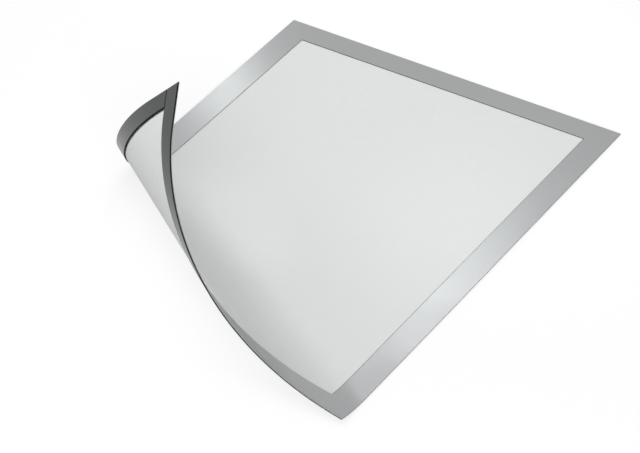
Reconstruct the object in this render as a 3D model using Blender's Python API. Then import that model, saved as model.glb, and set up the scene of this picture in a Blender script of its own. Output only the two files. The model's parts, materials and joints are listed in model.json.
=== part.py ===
"""Magnetic document frame: a clear window in a silver border, held by magnetic strips on its back.

The frame lies face up, with its front left corner peeled off the surface and curled back over the window.
Lengths are in metres. X runs along the short side, Y along the long side, and the strips' backs lie on Z = 0.
The laminate bends along straight fold lines that all meet in one point left of the frame, as on a cone.
Between two folds every layer is a flat facet, and each fold is a hinge at the level of the front face.
"""

import math

import bmesh
import bpy
from mathutils import Matrix, Vector

# The sheet of paper that the frame shows
INSERT_WIDTH = 0.210
INSERT_LENGTH = 0.297
INSERT_THICKNESS = 0.0001
INSERT_CLEARANCE = 0.0008

# Magnetic strips on the back, and the tapes that bond them to the film
STRIP_WIDTH = 0.0122
STRIP_THICKNESS = 0.0007
TAPE_MARGIN = 0.0005
TAPE_THICKNESS = 0.00005

# Clear film over the whole frame, and the silver foil on its front
FILM_THICKNESS = 0.00015
BORDER_WIDTH = 0.0168
BORDER_THICKNESS = 0.0001

# Gaps across a glue line, between pieces laid edge to edge, and along a fold
BOND_GAP = 0.00002
BUTT_GAP = 0.0003
FOLD_GAP = 0.0003

# The peeled corner: where its first and last folds meet the frame's edges, and how far each of them turns
FOLD_COUNT = 6
FIRST_FOLD_UP_LEFT_SIDE = 0.1594
FIRST_FOLD_UP_RIGHT_SIDE = 0.0087
LAST_FOLD_UP_LEFT_SIDE = 0.0473
LAST_FOLD_ALONG_BOTTOM = 0.0437
FIRST_TURN = math.radians(24.4)
LAST_TURN = math.radians(16.6)

# Heights of the layers above the surface that the frame lies on
TAPE_BACK = STRIP_THICKNESS + BOND_GAP
FILM_BACK = TAPE_BACK + TAPE_THICKNESS + BOND_GAP
BORDER_BACK = FILM_BACK + FILM_THICKNESS + BOND_GAP
FRONT = BORDER_BACK + BORDER_THICKNESS
INSERT_BACK = FILM_BACK - BOND_GAP - INSERT_THICKNESS

# Half sizes of the opening between the strips, of the frame and of its window
OPENING_X = INSERT_WIDTH / 2 + INSERT_CLEARANCE
OPENING_Y = INSERT_LENGTH / 2 + INSERT_CLEARANCE
HALF_X = OPENING_X + STRIP_WIDTH
HALF_Y = OPENING_Y + STRIP_WIDTH
WINDOW_X = HALF_X - BORDER_WIDTH
WINDOW_Y = HALF_Y - BORDER_WIDTH


def rectangle(x_low, x_high, y_low, y_high):
    """Corners of a rectangle, counter-clockwise from its low corner."""
    return [(x_low, y_low), (x_high, y_low), (x_high, y_high), (x_low, y_high)]


def plate(outlines, back, thickness):
    """A flat plate on outlines of (x, y) points, which join where they share an edge."""
    bm = bmesh.new()
    corners = {}
    for outline in outlines:
        for point in outline:
            if point not in corners:
                corners[point] = bm.verts.new((*point, back))
        bm.faces.new([corners[point] for point in outline])
    grown = bmesh.ops.extrude_face_region(bm, geom=bm.faces[:], use_keep_orig=True)
    raised = [item for item in grown["geom"] if isinstance(item, bmesh.types.BMVert)]
    bmesh.ops.translate(bm, vec=(0, 0, thickness), verts=raised)
    return bm


def keep_side(bm, point, direction):
    """Cuts a plate along an upright plane through the point and keeps what lies on the direction's side."""
    everything = bm.verts[:] + bm.edges[:] + bm.faces[:]
    cut = bmesh.ops.bisect_plane(bm, geom=everything, plane_co=point, plane_no=direction, clear_inner=True)
    rims = [item for item in cut["geom_cut"] if isinstance(item, bmesh.types.BMEdge)]
    bmesh.ops.holes_fill(bm, edges=rims)


def fold_frames():
    """Flat frames of the folds: origin on the left side, X along the fold, Y towards the peeled corner."""
    first_slope = (FIRST_FOLD_UP_LEFT_SIDE - FIRST_FOLD_UP_RIGHT_SIDE) / (2 * HALF_X)
    last_slope = LAST_FOLD_UP_LEFT_SIDE / LAST_FOLD_ALONG_BOTTOM
    apex_reach = (FIRST_FOLD_UP_LEFT_SIDE - LAST_FOLD_UP_LEFT_SIDE) / (last_slope - first_slope)
    apex_height = FIRST_FOLD_UP_LEFT_SIDE + first_slope * apex_reach
    first_dip = math.atan(first_slope)
    dip_step = (math.atan(last_slope) - first_dip) / (FOLD_COUNT - 1)
    frames = []
    for number in range(FOLD_COUNT):
        dip = first_dip + number * dip_step
        origin = Vector((-HALF_X, -HALF_Y + apex_height - apex_reach * math.tan(dip), FRONT))
        frames.append(Matrix.Translation(origin) @ Matrix.Rotation(math.pi - dip, 4, "Z"))
    return frames


def make_hinges(frames):
    """A chain of empties on the folds, each turned about its fold; the first one turns the most."""
    hinges = []
    before = Matrix.Identity(4)
    turn_step = (LAST_TURN - FIRST_TURN) / (FOLD_COUNT - 1)
    for number, flat in enumerate(frames):
        hinge = bpy.data.objects.new(f"fold_{number + 1}", None)
        bpy.context.collection.objects.link(hinge)
        hinge.parent = hinges[-1] if hinges else None
        turn = Matrix.Rotation(FIRST_TURN + number * turn_step, 4, "X")
        hinge.matrix_basis = before.inverted() @ flat @ turn
        hinges.append(hinge)
        before = flat
    return hinges


def make_material(name, colour, roughness, metallic=0.0, alpha=1.0):
    """A plain material; its colour is linear."""
    material = bpy.data.materials.new(name)
    material.use_nodes = True
    shader = material.node_tree.nodes["Principled BSDF"]
    shader.inputs["Base Color"].default_value = (*colour, 1.0)
    shader.inputs["Roughness"].default_value = roughness
    shader.inputs["Metallic"].default_value = metallic
    shader.inputs["Alpha"].default_value = alpha
    return material


def cut_to_facet(bm, facet):
    """Keeps one facet of a flat plate: 0 is the part that lies flat, the last one is the peeled tip."""
    if facet > 0:
        fold = FOLDS[facet - 1]
        towards_tip = fold.to_3x3() @ Vector((0, 1, 0))
        keep_side(bm, fold.translation + towards_tip * FOLD_GAP / 2, towards_tip)
    if facet < FOLD_COUNT:
        fold = FOLDS[facet]
        towards_tip = fold.to_3x3() @ Vector((0, 1, 0))
        keep_side(bm, fold.translation - towards_tip * FOLD_GAP / 2, -towards_tip)


def add_piece(name, bm, facet, material):
    """Makes an object of a cut plate and hangs it on its facet's hinge; nothing is made of an empty plate."""
    if not bm.faces:
        return
    hinge = None
    if facet > 0:
        name = f"{name}_{facet}"
        hinge = HINGES[facet - 1]
        bm.transform(FOLDS[facet - 1].inverted())
    bmesh.ops.recalc_face_normals(bm, faces=bm.faces)
    if bm.calc_volume(signed=True) < 0:
        bmesh.ops.reverse_faces(bm, faces=bm.faces)
    mesh = bpy.data.meshes.new(name)
    bm.to_mesh(mesh)
    bm.free()
    mesh.materials.append(material)
    piece = bpy.data.objects.new(name, mesh)
    piece.parent = hinge
    bpy.context.collection.objects.link(piece)


def add_layer(name, outlines, back, thickness, material):
    """Adds a whole layer as one piece on each facet that it crosses."""
    for facet in range(FOLD_COUNT + 1):
        bm = plate(outlines, back, thickness)
        cut_to_facet(bm, facet)
        add_piece(name, bm, facet, material)


def strip_outlines(margin):
    """Outlines of the four strips, smaller by a margin; each butts its end against the side of the next."""
    ends_x = OPENING_X - BUTT_GAP - margin
    ends_y = OPENING_Y - BUTT_GAP - margin
    inner_x = OPENING_X + margin
    inner_y = OPENING_Y + margin
    outer_x = HALF_X - margin
    outer_y = HALF_Y - margin
    return {
        "top": rectangle(-ends_x, outer_x, inner_y, outer_y),
        "right": rectangle(inner_x, outer_x, -outer_y, ends_y),
        "bottom": rectangle(-outer_x, ends_x, -outer_y, -inner_y),
        "left": rectangle(-outer_x, -inner_x, -ends_y, outer_y),
    }


def add_magnetic_strips():
    """The four dark rubber strips, whose backs hold on to steel."""
    rubber = make_material("magnetic_rubber", (0.1, 0.11, 0.11), 0.55)
    for side, outline in strip_outlines(0.0).items():
        add_layer(f"magnetic_strip_{side}", [outline], 0.0, STRIP_THICKNESS, rubber)


def add_tapes():
    """The adhesive tape on each strip, a little narrower than the strip."""
    adhesive = make_material("adhesive_tape", (0.62, 0.6, 0.52), 0.5)
    for side, outline in strip_outlines(TAPE_MARGIN).items():
        add_layer(f"adhesive_tape_{side}", [outline], TAPE_BACK, TAPE_THICKNESS, adhesive)


def add_insert_sheet():
    """The white sheet behind the window, pushed up against the top and right strips."""
    paper = make_material("white_paper", (0.8, 0.81, 0.81), 0.8)
    right = OPENING_X - BUTT_GAP
    top = OPENING_Y - BUTT_GAP
    outline = rectangle(right - INSERT_WIDTH, right, top - INSERT_LENGTH, top)
    add_layer("insert_sheet", [outline], INSERT_BACK, INSERT_THICKNESS, paper)


def add_window_film():
    """The clear film, as large as the frame, that carries everything else."""
    clear = make_material("clear_film", (0.9, 0.92, 0.92), 0.1, alpha=0.3)
    outline = rectangle(-HALF_X, HALF_X, -HALF_Y, HALF_Y)
    add_layer("window_film", [outline], FILM_BACK, FILM_THICKNESS, clear)


def add_border_foil():
    """The silver ring round the window; a facet between the flat part and the tip has two pieces of it."""
    silver = make_material("silver_foil", (0.42, 0.43, 0.44), 0.35, metallic=0.6)
    outer = rectangle(-HALF_X, HALF_X, -HALF_Y, HALF_Y)
    inner = rectangle(-WINDOW_X, WINDOW_X, -WINDOW_Y, WINDOW_Y)
    ring = [[outer[i - 1], outer[i], inner[i], inner[i - 1]] for i in range(len(outer))]
    peeled_corner = Vector((-HALF_X, -HALF_Y, 0))
    to_left_side = Vector((-1, 1, 0)).normalized()
    whole = {"border_foil": None}
    halves = {"border_foil_left": to_left_side, "border_foil_bottom": -to_left_side}
    for facet in range(FOLD_COUNT + 1):
        for name, side in (whole if facet in (0, FOLD_COUNT) else halves).items():
            bm = plate(ring, BORDER_BACK, BORDER_THICKNESS)
            cut_to_facet(bm, facet)
            if side:
                keep_side(bm, peeled_corner, side)
            add_piece(name, bm, facet, silver)


for leftover in list(bpy.data.objects):
    bpy.data.objects.remove(leftover)

FOLDS = fold_frames()
HINGES = make_hinges(FOLDS)
add_magnetic_strips()
add_tapes()
add_insert_sheet()
add_window_film()
add_border_foil()
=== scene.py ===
"""Magnetic document frame: the finish of its window, silver border, magnetic strips and white sheet.

Every layer is drawn flat at its real size, then rolled onto the smooth cone that the model's folds follow.
Lengths are in metres, in the model's own frame.
"""

import json
import math

import bmesh
import bpy
from mathutils import Matrix, Vector
from mathutils.geometry import intersect_line_line

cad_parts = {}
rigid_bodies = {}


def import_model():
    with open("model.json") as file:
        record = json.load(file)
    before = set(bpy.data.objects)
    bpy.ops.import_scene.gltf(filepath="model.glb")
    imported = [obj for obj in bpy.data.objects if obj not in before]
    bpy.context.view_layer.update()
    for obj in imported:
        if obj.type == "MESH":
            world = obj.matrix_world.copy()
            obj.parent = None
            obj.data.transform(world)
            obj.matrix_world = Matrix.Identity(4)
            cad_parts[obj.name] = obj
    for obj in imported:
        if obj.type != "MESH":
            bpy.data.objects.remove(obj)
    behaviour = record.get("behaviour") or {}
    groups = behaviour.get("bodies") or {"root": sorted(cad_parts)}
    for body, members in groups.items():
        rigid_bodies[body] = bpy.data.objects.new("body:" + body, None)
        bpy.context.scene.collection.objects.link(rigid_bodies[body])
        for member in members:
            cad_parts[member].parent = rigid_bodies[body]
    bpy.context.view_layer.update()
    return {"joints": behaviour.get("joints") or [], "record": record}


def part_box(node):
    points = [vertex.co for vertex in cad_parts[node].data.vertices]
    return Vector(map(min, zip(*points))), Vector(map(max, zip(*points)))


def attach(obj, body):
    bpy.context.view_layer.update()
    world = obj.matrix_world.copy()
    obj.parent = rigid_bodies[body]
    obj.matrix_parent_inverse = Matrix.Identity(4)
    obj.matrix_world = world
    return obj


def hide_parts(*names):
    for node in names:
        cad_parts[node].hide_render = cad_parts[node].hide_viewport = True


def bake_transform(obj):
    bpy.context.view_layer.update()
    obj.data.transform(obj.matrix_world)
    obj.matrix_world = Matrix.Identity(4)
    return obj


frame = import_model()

# Window film
# One clear polyester sheet of the frame's full size, die-cut with square corners and matt against glare.
# The border and the strips are stuck to it, so it sets how a peeled corner curls, and every layer follows.

film_low, film_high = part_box("window_film")
half_x = film_high.x
half_y = film_high.y

# The curl is a cone. All folds of the model start from its apex, left of the frame, and open like a fan.
# A point of the flat film has a dip: the angle from the X axis towards the front at which the apex sees it.
joints = frame["joints"]
fold_count = len(joints)
fold_lines = [-Vector(joint["axis"]) for joint in joints]
left_ends = [Vector(joint["pos_m"]) for joint in joints]
first_fold = (left_ends[0], left_ends[0] + fold_lines[0])
last_fold = (left_ends[-1], left_ends[-1] + fold_lines[-1])
apex = intersect_line_line(*first_fold, *last_fold)[0]
fan_step = fold_lines[0].angle(fold_lines[1])
first_dip = math.atan2(-fold_lines[0].y, fold_lines[0].x)

# One more line at each end, on the flat part and on the tip, lets the curl run out level with both
last_turn = math.radians(-joints[-1]["range_deg"][0])
beyond_last = 2 * math.cos(fan_step) * fold_lines[-1] - fold_lines[-2]
line_on_flat = Matrix.Rotation(fan_step, 3, "Z") @ fold_lines[0]
line_on_tip = Matrix.Rotation(last_turn, 3, -fold_lines[-1]) @ beyond_last
control_lines = [line_on_flat, *fold_lines, line_on_tip]


def curl_axes(dip):
    """Axes of the rolled film where the flat one has this dip: outwards, onwards and frontwards."""
    place = (dip - first_dip) / fan_step + 0.5
    if place <= 0:
        outwards = Vector((math.cos(dip), -math.sin(dip), 0))
        onwards = Vector((-math.sin(dip), -math.cos(dip), 0))
    elif place >= fold_count:
        across = (line_on_tip - math.cos(fan_step) * fold_lines[-1]).normalized()
        past = (place - fold_count + 0.5) * fan_step
        outwards = math.cos(past) * fold_lines[-1] + math.sin(past) * across
        onwards = math.cos(past) * across - math.sin(past) * fold_lines[-1]
    else:
        cell = int(place)
        share = place - cell
        before, fold, after = control_lines[cell : cell + 3]
        start = (before + fold) / 2
        end = (fold + after) / 2
        outwards = (1 - share) ** 2 * start + 2 * share * (1 - share) * fold + share**2 * end
        onwards = (1 - share) * (fold - start) + share * (end - fold)
    outwards.normalize()
    frontwards = onwards.cross(outwards).normalized()
    return Matrix((outwards, outwards.cross(frontwards), frontwards)).transposed()


# A layer lists its finishes in this order. A face this level is its front or back, others are its cut edge.
FRONT, CUT_EDGE, BACK = range(3)
FLAT_ENOUGH = 0.999


def loft(loops, ring=False):
    """A closed mesh through rectangles (x low, x high, y low, y high, z); a ring joins its ends."""
    bm = bmesh.new()
    rows = []
    for x_low, x_high, y_low, y_high, z in loops:
        corners = (x_low, y_low), (x_high, y_low), (x_high, y_high), (x_low, y_high)
        rows.append([bm.verts.new((x, y, z)) for x, y in corners])
    for lower, upper in zip(rows, rows[1:] + rows[:1] if ring else rows[1:]):
        for i in range(len(lower)):
            bm.faces.new((lower[i - 1], lower[i], upper[i], upper[i - 1]))
    if not ring:
        bm.faces.new(reversed(rows[0]))
        bm.faces.new(rows[-1])
    for face in bm.faces:
        face.normal_update()
        if abs(face.normal.z) < FLAT_ENOUGH:
            face.material_index = CUT_EDGE
        else:
            face.material_index = FRONT if face.normal.z > 0 else BACK
    return bm


def slice_mesh(bm, point, normal, keep=False):
    """Adds a row of edges along an upright plane, or keeps what lies on the normal's side and caps it."""
    everything = bm.verts[:] + bm.edges[:] + bm.faces[:]
    cut = bmesh.ops.bisect_plane(bm, geom=everything, plane_co=point, plane_no=normal, clear_inner=keep)
    if keep:
        rims = [item for item in cut["geom_cut"] if isinstance(item, bmesh.types.BMEdge)]
        for face in bmesh.ops.holes_fill(bm, edges=rims)["faces"]:
            face.material_index = FRONT


# A bend eases out this far to each side of its fold, so that neighbouring bends share the turn evenly
BEND_REACH = 0.029

# Rows of edges in a bend and in the curl's run onto the flat part and the tip, and the spacing along a fold
BEND_SLICES = 8
EASING_SLICES = 6
CROSS_SPACING = 0.012


def cut_to_bend(bm, bend):
    """Keeps the part of a flat layer round one fold and slices it finely enough to bend."""
    fold_dip = first_dip + (bend - 1) * fan_step
    along = Vector((math.cos(fold_dip), -math.sin(fold_dip), 0))
    for side in (-1, 1):
        dip = fold_dip + side * fan_step / 2
        inwards = Vector((math.sin(dip), math.cos(dip), 0)) * side
        if 1 <= bend + side <= fold_count:
            slice_mesh(bm, apex, inwards, keep=True)
        else:
            onwards = Vector((-math.sin(fold_dip), -math.cos(fold_dip), 0)) * side
            for number in range(EASING_SLICES + 1):
                slice_mesh(bm, apex + onwards * BEND_REACH * number / EASING_SLICES, onwards)
    for number in range(BEND_SLICES + 1):
        dip = fold_dip + (number / BEND_SLICES - 0.5) * fan_step
        slice_mesh(bm, apex, Vector((math.sin(dip), math.cos(dip), 0)))
    farthest = (Vector((half_x, -half_y, 0)) - apex).length
    for number in range(int(farthest / CROSS_SPACING)):
        slice_mesh(bm, apex + along * number * CROSS_SPACING, along)


def rolled(name, bm, finishes):
    """Makes an object of a flat layer rolled onto the curl; its map keeps where each point was when flat."""
    mesh = bpy.data.meshes.new(name)
    bm.to_mesh(mesh)
    bm.free()
    flat_map = mesh.uv_layers.new(name="flat")
    turns = []
    for vertex in mesh.vertices:
        spoke = vertex.co - apex
        dip = math.atan2(-spoke.y, spoke.x)
        onto_flat_axes = Matrix((
            (math.cos(dip), -math.sin(dip), 0),
            (-math.sin(dip), -math.cos(dip), 0),
            (0, 0, 1),
        ))
        turns.append(curl_axes(dip) @ onto_flat_axes)
    corner_normals = []
    for face in mesh.polygons:
        for corner in face.loop_indices:
            vertex = mesh.loops[corner].vertex_index
            flat_map.data[corner].uv = mesh.vertices[vertex].co.xy
            corner_normals.append(turns[vertex] @ face.normal)
    for vertex, turn in zip(mesh.vertices, turns):
        vertex.co = apex + turn @ (vertex.co - apex)
    mesh.normals_split_custom_set(corner_normals)
    for finish in finishes:
        mesh.materials.append(finish)
    piece = bpy.data.objects.new(name, mesh)
    bpy.context.scene.collection.objects.link(piece)
    return piece


def laminate(name, loops, finishes, node, ring=False):
    """Rolls a layer onto the curl, a piece for each fold that it crosses, in place of the node's facets."""
    groups = frame["record"]["behaviour"]["bodies"]
    for bend, joint in enumerate(joints, 1):
        bm = loft(loops, ring)
        cut_to_bend(bm, bend)
        if not bm.faces:
            bm.free()
            continue
        piece = rolled(f"{name}_{bend}", bm, finishes)
        fold_dip = first_dip + (bend - 1) * fan_step
        reach = curl_axes(fold_dip).col[1] * BEND_REACH
        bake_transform(piece)
        near_nodes = groups[joint["child"]] + (groups[joint["parent"]] if bend == 1 else [])
        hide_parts(*[other for other in near_nodes if other.startswith(node)])


def linear(code):
    """A colour written as sRGB hex, as linear values with an alpha of 1."""
    values = [int(code[i : i + 2], 16) / 255 for i in (1, 3, 5)]
    return *[v / 12.92 if v <= 0.04045 else ((v + 0.055) / 1.055) ** 2.4 for v in values], 1.0


def add(tree, kind, sockets=None, links=None, **settings):
    """Adds a node with its settings, its sockets' values and the outputs that feed them."""
    made = tree.nodes.new(kind)
    for name, value in settings.items():
        setattr(made, name, value)
    for name, value in (sockets or {}).items():
        made.inputs[name].default_value = value
    for name, output in (links or {}).items():
        tree.links.new(output, made.inputs[name])
    return made


def empty_tree(name):
    """A new material of that name and its node tree, with nothing in it yet."""
    material = bpy.data.materials.new(name)
    material.use_nodes = True
    material.node_tree.nodes.clear()
    return material, material.node_tree


# Matt polyester film: clear, with a fine tooth that spreads highlights into a soft sheen.
# The real tooth is about 0.02 mm wide, and is drawn at 0.6 mm so that it shows.
FILM_TOOTH = 0.0006

# The film mirrors little face on, and more with the fifth power of its slant; the tooth keeps that share low
FACE_ON_SHARE = 0.04
GRAZING_SHARE = 0.4
GRAZING_STEEPNESS = 5.0

clear_film, tree = empty_tree("matt_clear_polyester")
flat = add(tree, "ShaderNodeUVMap", uv_map="flat")
tooth = add(
    tree,
    "ShaderNodeTexNoise",
    {"Scale": 1 / FILM_TOOTH, "Detail": 3.0},
    {"Vector": flat.outputs["UV"]},
)
bump = add(tree, "ShaderNodeBump", {"Strength": 0.08, "Distance": 0.00002}, {"Height": tooth.outputs["Fac"]})
sheen = add(
    tree,
    "ShaderNodeBsdfGlossy",
    {"Roughness": 0.4, "Color": linear("#FFFFFF")},
    {"Normal": bump.outputs["Normal"]},
)
through = add(tree, "ShaderNodeBsdfTransparent", {"Color": linear("#FFFFFF")})
slant = add(tree, "ShaderNodeLayerWeight", {"Blend": 0.5})
steep = add(
    tree,
    "ShaderNodeMath",
    {1: GRAZING_STEEPNESS},
    {0: slant.outputs["Facing"]},
    operation="POWER",
)
mirrored_share = add(
    tree,
    "ShaderNodeMath",
    {1: GRAZING_SHARE, 2: FACE_ON_SHARE},
    {0: steep.outputs["Value"]},
    operation="MULTIPLY_ADD",
)
both = add(
    tree,
    "ShaderNodeMixShader",
    links={0: mirrored_share.outputs["Value"], 1: through.outputs["BSDF"], 2: sheen.outputs["BSDF"]},
)
add(tree, "ShaderNodeOutputMaterial", links={"Surface": both.outputs["Shader"]})

# The film's cut edge: light gathers in it, so it shows as a pale line with faint nicks from the die
film_edge, tree = empty_tree("cut_polyester_edge")
flat = add(tree, "ShaderNodeUVMap", uv_map="flat")
nicks = add(tree, "ShaderNodeTexNoise", {"Scale": 1 / FILM_TOOTH}, {"Vector": flat.outputs["UV"]})
tones = add(tree, "ShaderNodeValToRGB", links={"Fac": nicks.outputs["Fac"]})
tones.color_ramp.elements[0].color = linear("#B4BDBF")
tones.color_ramp.elements[1].color = linear("#D6DDDE")
edge = add(
    tree,
    "ShaderNodeBsdfPrincipled",
    {"Roughness": 0.35, "IOR": 1.57},
    {"Base Color": tones.outputs["Color"]},
)
add(tree, "ShaderNodeOutputMaterial", links={"Surface": edge.outputs["BSDF"]})

film_sides = (-half_x, half_x, -half_y, half_y)
laminate(
    "clear_film",
    [(*film_sides, film_low.z), (*film_sides, film_high.z)],
    (clear_film, film_edge, clear_film),
    "window_film",
)

# Border foil
# A ring of satin silver plastic foil, die-cut in one piece and bonded to the front of the film all round.
# Its back and its cut edges are dark, and the inner edge shows as a fine dark line round the window; along
# the top and right that line is widened into painted shade.

BORDER_WIDTH = 0.0168

# The cut edges slope so that they face forwards a little. The inner one slopes most along the top and right,
# so that its dark primer shows wider there as a painted shadow line along the window's edge.
OUTER_EDGE_SLOPE = 0.00006
INNER_EDGE_SLOPE = 0.00015
RIGHT_EDGE_SHADE_SLOPE = 0.0003
TOP_EDGE_SHADE_SLOPE = 0.0004

border_low, border_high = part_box("border_foil")
window_x = half_x - BORDER_WIDTH
window_y = half_y - BORDER_WIDTH


def grown(margin):
    """The window's rectangle, larger all round by a margin."""
    return -window_x - margin, window_x + margin, -window_y - margin, window_y + margin


# Satin silver foil: metal flake under a matt lacquer, a broad soft reflection with a very fine sparkle.
# Real flakes of about 0.03 mm are drawn at 0.4 mm so that they show. The shine drifts every 30 mm.
FLAKE = 0.0004
SHINE_DRIFT = 0.03

silver, tree = empty_tree("satin_silver_foil")
flat = add(tree, "ShaderNodeUVMap", uv_map="flat")
flakes = add(
    tree,
    "ShaderNodeTexNoise",
    {"Scale": 1 / FLAKE, "Detail": 2.0},
    {"Vector": flat.outputs["UV"]},
)
clouds = add(
    tree,
    "ShaderNodeTexNoise",
    {"Scale": 1 / SHINE_DRIFT, "Detail": 2.0},
    {"Vector": flat.outputs["UV"]},
)
tones = add(tree, "ShaderNodeValToRGB", links={"Fac": flakes.outputs["Fac"]})
tones.color_ramp.elements[0].color = linear("#9C9E9F")
tones.color_ramp.elements[1].color = linear("#AAACAC")
shine = add(tree, "ShaderNodeMapRange", {"To Min": 0.26, "To Max": 0.34}, {"Value": clouds.outputs["Fac"]})
bump = add(
    tree,
    "ShaderNodeBump",
    {"Strength": 0.06, "Distance": 0.00002},
    {"Height": flakes.outputs["Fac"]},
)
face = add(
    tree,
    "ShaderNodeBsdfPrincipled",
    {"Metallic": 0.9, "Specular Tint": linear("#E3E4E4")},
    {
        "Base Color": tones.outputs["Color"],
        "Roughness": shine.outputs["Result"],
        "Normal": bump.outputs["Normal"],
    },
)
add(tree, "ShaderNodeOutputMaterial", links={"Surface": face.outputs["BSDF"]})

# Black primer on the foil's back and cut edges: matt and nearly without reflections, with faint specks
primer, tree = empty_tree("black_foil_primer")
flat = add(tree, "ShaderNodeUVMap", uv_map="flat")
specks = add(tree, "ShaderNodeTexNoise", {"Scale": 1 / FLAKE}, {"Vector": flat.outputs["UV"]})
tones = add(tree, "ShaderNodeValToRGB", links={"Fac": specks.outputs["Fac"]})
tones.color_ramp.elements[0].color = linear("#1B1D1E")
tones.color_ramp.elements[1].color = linear("#2A2D2E")
coat = add(
    tree,
    "ShaderNodeBsdfPrincipled",
    {"Roughness": 0.6, "IOR": 1.5},
    {"Base Color": tones.outputs["Color"]},
)
add(tree, "ShaderNodeOutputMaterial", links={"Surface": coat.outputs["BSDF"]})

# The opening's front edge is set back furthest at the top and right, where the wider band of dark primer is
# painted shade
front_opening = (
    -window_x - INNER_EDGE_SLOPE,
    window_x + RIGHT_EDGE_SHADE_SLOPE,
    -window_y - INNER_EDGE_SLOPE,
    window_y + TOP_EDGE_SHADE_SLOPE,
)
laminate(
    "silver_border",
    [
        (*grown(BORDER_WIDTH), border_low.z),
        (*grown(BORDER_WIDTH - OUTER_EDGE_SLOPE), border_high.z),
        (*front_opening, border_high.z),
        (*grown(0.0), border_low.z),
    ],
    (silver, primer, primer),
    "border_foil",
    ring=True,
)

# Adhesive tapes
# Four strips of thin double-sided tape, each a little narrower than the magnetic strip that it holds.
# They are pressed onto the film's back first, and show only as a fine line in the frame's cut edges.

top_low, top_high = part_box("adhesive_tape_top")
right_low, right_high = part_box("adhesive_tape_right")


def side_outlines(top, right):
    """The four sides' rectangles: the top and right ones as given, and the other two opposite to them."""
    return {
        "top": top,
        "right": right,
        "bottom": (-top[1], -top[0], -top[3], -top[2]),
        "left": (-right[1], -right[0], -right[3], -right[2]),
    }


def lay_side(name, side, loops, finishes, node):
    """Lays a tape or a strip along one side: the top one lies flat, and the others cross the curl."""
    if side == "top":
        piece = rolled(f"{name}_top", loft(loops), finishes)
        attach(piece, "frame")
        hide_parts(f"{node}_top")
    else:
        laminate(f"{name}_{side}", loops, finishes, f"{node}_{side}")


# Acrylic adhesive on a paper carrier: yellowish white and dull, with a fibrous mottle.
# Real fibres are about 0.03 mm thick, and are drawn at 0.8 mm so that they show.
CARRIER_FIBRE = 0.0008

adhesive, tree = empty_tree("acrylic_adhesive_tape")
flat = add(tree, "ShaderNodeUVMap", uv_map="flat")
fibres = add(
    tree,
    "ShaderNodeTexNoise",
    {"Scale": 1 / CARRIER_FIBRE, "Detail": 3.0},
    {"Vector": flat.outputs["UV"]},
)
tones = add(tree, "ShaderNodeValToRGB", links={"Fac": fibres.outputs["Fac"]})
tones.color_ramp.elements[0].color = linear("#C2BEAE")
tones.color_ramp.elements[1].color = linear("#D6D3C5")
glue = add(
    tree,
    "ShaderNodeBsdfPrincipled",
    {"Roughness": 0.5, "IOR": 1.47},
    {"Base Color": tones.outputs["Color"]},
)
add(tree, "ShaderNodeOutputMaterial", links={"Surface": glue.outputs["BSDF"]})

tape_margin = half_x - right_high.x
tape_sides = side_outlines(
    (top_low.x, top_high.x, top_low.y, top_high.y),
    (right_low.x, right_high.x, tape_margin - half_y, right_high.y),
)
for side, outline in tape_sides.items():
    loops = [(*outline, top_low.z), (*outline, top_high.z)]
    lay_side("tape", side, loops, (adhesive, adhesive, adhesive), "adhesive_tape")

# Magnetic strips
# Four strips of flexible magnet: ferrite powder in dark rubber, rolled to a sheet and slit to width.
# Each butts its end against the side of the next, and its magnetised back holds on to any steel surface.

# The slit edges lean in towards the back, and their front corners have a small chamfer
SLIT_EDGE_SLANT = 0.0005
SLIT_CORNER_CHAMFER = 0.00008

# An outline's four edges, which way leads inwards from each, and the one that butts against the next strip
X_LOW, X_HIGH, Y_LOW, Y_HIGH = range(4)
INWARDS = (1, -1, 1, -1)
BUTT_ENDS = {"top": X_LOW, "right": Y_HIGH, "bottom": X_HIGH, "left": Y_LOW}

strip_top_low, strip_top_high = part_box("magnetic_strip_top")
strip_right_low, strip_right_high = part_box("magnetic_strip_right")

# Ferrite rubber: nearly black, with a rolled satin skin that shows grey where it mirrors pale surroundings.
# Its real grain is about 0.05 mm, and is drawn at 0.5 mm so that it shows. Its tone drifts every 12 mm.
RUBBER_GRAIN = 0.0005
RUBBER_CLOUDING = 0.012

rubber, tree = empty_tree("ferrite_rubber")
flat = add(tree, "ShaderNodeUVMap", uv_map="flat")
grain = add(
    tree,
    "ShaderNodeTexNoise",
    {"Scale": 1 / RUBBER_GRAIN, "Detail": 3.0},
    {"Vector": flat.outputs["UV"]},
)
clouds = add(
    tree,
    "ShaderNodeTexNoise",
    {"Scale": 1 / RUBBER_CLOUDING, "Detail": 3.0},
    {"Vector": flat.outputs["UV"]},
)
tones = add(tree, "ShaderNodeValToRGB", links={"Fac": clouds.outputs["Fac"]})
tones.color_ramp.elements[0].color = linear("#191D1E")
tones.color_ramp.elements[1].color = linear("#222728")
shine = add(tree, "ShaderNodeMapRange", {"To Min": 0.21, "To Max": 0.31}, {"Value": grain.outputs["Fac"]})
bump = add(tree, "ShaderNodeBump", {"Strength": 0.15, "Distance": 0.00003}, {"Height": grain.outputs["Fac"]})
skin = add(
    tree,
    "ShaderNodeBsdfPrincipled",
    {"IOR": 1.44},
    {
        "Base Color": tones.outputs["Color"],
        "Roughness": shine.outputs["Result"],
        "Normal": bump.outputs["Normal"],
    },
)
add(tree, "ShaderNodeOutputMaterial", links={"Surface": skin.outputs["BSDF"]})

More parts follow.
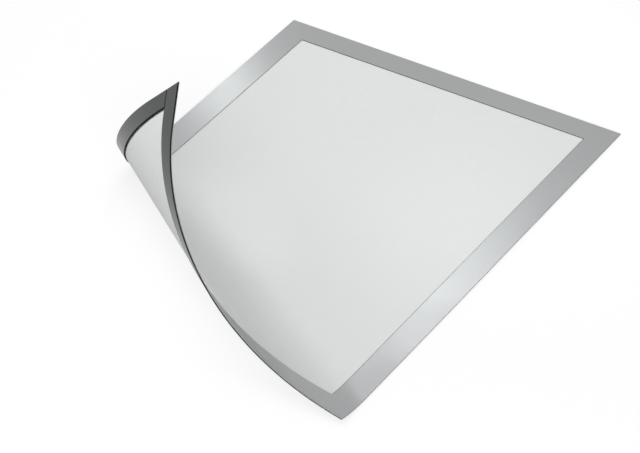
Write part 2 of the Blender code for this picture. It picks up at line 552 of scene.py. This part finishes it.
# The slit edge of the same rubber: freshly cut, black and matt, so it outlines the strips
slit_rubber, tree = empty_tree("slit_ferrite_rubber")
flat = add(tree, "ShaderNodeUVMap", uv_map="flat")
grain = add(
    tree,
    "ShaderNodeTexNoise",
    {"Scale": 1 / RUBBER_GRAIN, "Detail": 2.0},
    {"Vector": flat.outputs["UV"]},
)
tones = add(tree, "ShaderNodeValToRGB", links={"Fac": grain.outputs["Fac"]})
tones.color_ramp.elements[0].color = linear("#060707")
tones.color_ramp.elements[1].color = linear("#0E0F10")
cut = add(
    tree,
    "ShaderNodeBsdfPrincipled",
    {"Roughness": 0.85, "IOR": 1.4},
    {"Base Color": tones.outputs["Color"]},
)
add(tree, "ShaderNodeOutputMaterial", links={"Surface": cut.outputs["BSDF"]})

strip_sides = side_outlines(
    (strip_top_low.x, strip_top_high.x, strip_top_low.y, strip_top_high.y),
    (strip_right_low.x, strip_right_high.x, -half_y, strip_right_high.y),
)
strip_back = strip_top_low.z
strip_front = strip_top_high.z
for side, outline in strip_sides.items():
    margins = [SLIT_EDGE_SLANT] * len(outline)
    margins[BUTT_ENDS[side]] = SLIT_CORNER_CHAMFER
    leant = [edge + way * margin for edge, way, margin in zip(outline, INWARDS, margins)]
    chamfered = [edge + way * SLIT_CORNER_CHAMFER for edge, way in zip(outline, INWARDS)]
    loops = [
        (*leant, strip_back),
        (*outline, strip_front - SLIT_CORNER_CHAMFER),
        (*chamfered, strip_front),
    ]
    lay_side("strip", side, loops, (rubber, slit_rubber, rubber), "magnetic_strip")

# Insert sheet
# A sheet of plain white office paper that the frame shows, laid in from behind between the strips.
# It is pushed up against the top and right strips, and the strips' inner edges keep it from sliding.

SHEET_LENGTH = 0.297
sheet_low, sheet_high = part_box("insert_sheet")

# Office paper: bright white and dull, with a faint cloudiness of its fibres.
# Real fibres are about 0.03 mm thick, and are drawn at 0.9 mm so that they show. They clump every 6 mm.
PAPER_FIBRE = 0.0009
PAPER_CLOUDING = 0.006

paper, tree = empty_tree("white_office_paper")
flat = add(tree, "ShaderNodeUVMap", uv_map="flat")
fibres = add(
    tree,
    "ShaderNodeTexNoise",
    {"Scale": 1 / PAPER_FIBRE, "Detail": 4.0},
    {"Vector": flat.outputs["UV"]},
)
clouds = add(
    tree,
    "ShaderNodeTexNoise",
    {"Scale": 1 / PAPER_CLOUDING, "Detail": 3.0},
    {"Vector": flat.outputs["UV"]},
)
tones = add(tree, "ShaderNodeValToRGB", links={"Fac": clouds.outputs["Fac"]})
tones.color_ramp.elements[0].color = linear("#E6E8E7")
tones.color_ramp.elements[1].color = linear("#EBEDEC")
bump = add(tree, "ShaderNodeBump", {"Strength": 0.1, "Distance": 0.00002}, {"Height": fibres.outputs["Fac"]})
leaf = add(
    tree,
    "ShaderNodeBsdfPrincipled",
    {"Roughness": 0.85, "IOR": 1.5},
    {"Base Color": tones.outputs["Color"], "Normal": bump.outputs["Normal"]},
)
add(tree, "ShaderNodeOutputMaterial", links={"Surface": leaf.outputs["BSDF"]})

sheet_sides = (sheet_low.x, sheet_high.x, sheet_high.y - SHEET_LENGTH, sheet_high.y)
laminate(
    "paper_sheet",
    [(*sheet_sides, sheet_low.z), (*sheet_sides, sheet_high.z)],
    (paper, paper, paper),
    "insert_sheet",
)

# Studio floor
# A large matt board just under the frame. It glows a little to the eye, so that it shows white round the
# object and keeps a faint shadow, and fades to plain white further out.

FLOOR_SIZE = 8.0
FLOOR_GAP = 0.0002
FLOOR_GLOW = 0.7
FADE_START = 0.25
FADE_END = 0.7


def in_sight(tree, rays):
    """The output that is 1 on the rays by which the studio is seen: direct, mirrored or let through."""
    direct_or_mirrored = add(
        tree,
        "ShaderNodeMath",
        links={0: rays.outputs["Is Camera Ray"], 1: rays.outputs["Is Glossy Ray"]},
        operation="MAXIMUM",
    )
    seen = add(
        tree,
        "ShaderNodeMath",
        links={0: direct_or_mirrored.outputs["Value"], 1: rays.outputs["Is Transmission Ray"]},
        operation="MAXIMUM",
    )
    return seen.outputs["Value"]


# White board: matt, without a pattern of its own
bpy.ops.mesh.primitive_plane_add(size=FLOOR_SIZE, location=(0, 0, -FLOOR_GAP))
floor = bpy.context.object
floor.name = "studio_floor"
white_floor, tree = empty_tree("white_studio_floor")
rays = add(tree, "ShaderNodeLightPath")
matt = add(tree, "ShaderNodeBsdfDiffuse", {"Color": linear("#A0A0A0")})
glow = add(tree, "ShaderNodeEmission", {"Strength": FLOOR_GLOW})
lit = add(tree, "ShaderNodeAddShader", links={0: matt.outputs["BSDF"], 1: glow.outputs["Emission"]})
near = add(
    tree,
    "ShaderNodeMixShader",
    links={0: in_sight(tree, rays), 1: matt.outputs["BSDF"], 2: lit.outputs["Shader"]},
)
place = add(tree, "ShaderNodeTexCoord")
reach = add(tree, "ShaderNodeVectorMath", links={0: place.outputs["Object"]}, operation="LENGTH")
fade = add(
    tree,
    "ShaderNodeMapRange",
    {"From Min": FADE_START, "From Max": FADE_END},
    {"Value": reach.outputs["Value"], "To Max": rays.outputs["Is Camera Ray"]},
    interpolation_type="SMOOTHSTEP",
)
far = add(tree, "ShaderNodeEmission", {"Strength": 1.0})
faded = add(
    tree,
    "ShaderNodeMixShader",
    links={0: fade.outputs["Result"], 1: near.outputs["Shader"], 2: far.outputs["Emission"]},
)
add(tree, "ShaderNodeOutputMaterial", links={"Surface": faded.outputs["Shader"]})
floor.data.materials.append(white_floor)

# Studio light
# A dim even surround that looks white, five softboxes that light the object without showing in its gloss,
# a small one over the curl, and two strip lights that show only as streaks in the border's gloss.

SURROUND = 0.25

world = bpy.data.worlds.new("white_surround")
bpy.context.scene.world = world
world.use_nodes = True
tree = world.node_tree
tree.nodes.clear()
rays = add(tree, "ShaderNodeLightPath")
strength = add(
    tree,
    "ShaderNodeMapRange",
    {"To Min": SURROUND, "To Max": 1.0},
    {"Value": in_sight(tree, rays)},
)
sky = add(
    tree,
    "ShaderNodeBackground",
    {"Color": linear("#FFFFFF")},
    {"Strength": strength.outputs["Result"]},
)
add(tree, "ShaderNodeOutputWorld", links={"Surface": sky.outputs["Background"]})


def lamp(name, start, end, breadth, aim, power, spread=180, mirrored=False):
    """A lamp from start to end, facing its aim and unseen; it lights the object, or is only mirrored."""
    start = Vector(start)
    end = Vector(end)
    light = bpy.data.lights.new(name, "AREA")
    light.shape = "RECTANGLE"
    light.size = (end - start).length
    light.size_y = breadth
    light.energy = power
    light.spread = math.radians(spread)
    middle = (start + end) / 2
    along = (end - start).normalized()
    away = middle - Vector(aim)
    away -= along * along.dot(away)
    away.normalize()
    axes = Matrix((along, away.cross(along), away)).transposed()
    holder = bpy.data.objects.new(name, light)
    holder.matrix_world = Matrix.Translation(middle) @ axes.to_4x4()
    holder.visible_camera = False
    holder.visible_glossy = mirrored
    holder.visible_diffuse = not mirrored
    bpy.context.scene.collection.objects.link(holder)


# Softboxes all round, for an even window and a light back of the flap
FRAME_MIDDLE = (0, 0, 0)
lamp("overhead_softbox", (-0.9, -0.3, 1.5), (0.5, -0.3, 1.5), breadth=1.2, aim=FRAME_MIDDLE, power=5.2)
lamp("back_softbox", (-0.3, 0.35, 0.3), (-0.1, 0.35, 0.3), breadth=0.15, aim=FRAME_MIDDLE, power=0.2)
lamp("front_softbox", (0.3, -2.1, 0.95), (1.5, -1.3, 0.95), breadth=0.8, aim=FRAME_MIDDLE, power=34.5)
lamp("left_softbox", (-1.6, -1.0, 0.45), (-1.6, 0.0, 0.45), breadth=0.6, aim=FRAME_MIDDLE, power=6.0)

# Narrow softboxes that lighten the window's far end and the shade beside the curl
lamp(
    "top_softbox",
    (-0.1, 0.25, 0.9),
    (0.2, 0.25, 0.9),
    breadth=0.2,
    aim=(0.05, 0.17, 0),
    power=0.062,
    spread=40,
)
lamp(
    "curl_softbox",
    (-0.0739, -0.0188, 0.5),
    (0.0019, -0.0672, 0.5),
    breadth=0.03,
    aim=(-0.0360, -0.0430, 0),
    power=0.0019,
    spread=9,
)

# Strip lights that the border mirrors, one on its left side and one on its right
lamp(
    "near_strip_light",
    (-0.282, 0.285, 0.16),
    (-0.196, 0.235, 0.16),
    breadth=0.035,
    aim=FRAME_MIDDLE,
    power=0.035,
    mirrored=True,
)
lamp(
    "far_strip_light",
    (-0.1770, 0.2825, 0.383),
    (-0.0850, 0.3595, 0.383),
    breadth=0.095,
    aim=(0.11, 0.0330, 0),
    power=0.0068,
    spread=24,
    mirrored=True,
)

# Camera
# It stands where the photograph was taken from, far off with a long lens.
# Its place and lens were worked out from the corners of the outline and of the window in the photograph.

IMAGE_WIDTH = 640
FOCAL_PIXELS = 3424.3
CAMERA_AIM = Vector((0.01217, -0.01445, 0.0))
CAMERA_DISTANCE = 2.01137
CAMERA_AZIMUTH = math.radians(32.132)
CAMERA_ELEVATION = math.radians(36.916)
towards_camera = Vector((
    math.sin(CAMERA_AZIMUTH) * math.cos(CAMERA_ELEVATION),
    -math.cos(CAMERA_AZIMUTH) * math.cos(CAMERA_ELEVATION),
    math.sin(CAMERA_ELEVATION),
))
camera = bpy.data.objects.new("camera", bpy.data.cameras.new("camera"))
camera.data.lens = FOCAL_PIXELS / IMAGE_WIDTH * camera.data.sensor_width
camera.location = CAMERA_AIM + towards_camera * CAMERA_DISTANCE
camera.rotation_euler = (-towards_camera).to_track_quat("-Z", "Y").to_euler()
bpy.context.scene.collection.objects.link(camera)
bpy.context.scene.camera = camera

bpy.context.scene.view_settings.view_transform = "Standard"
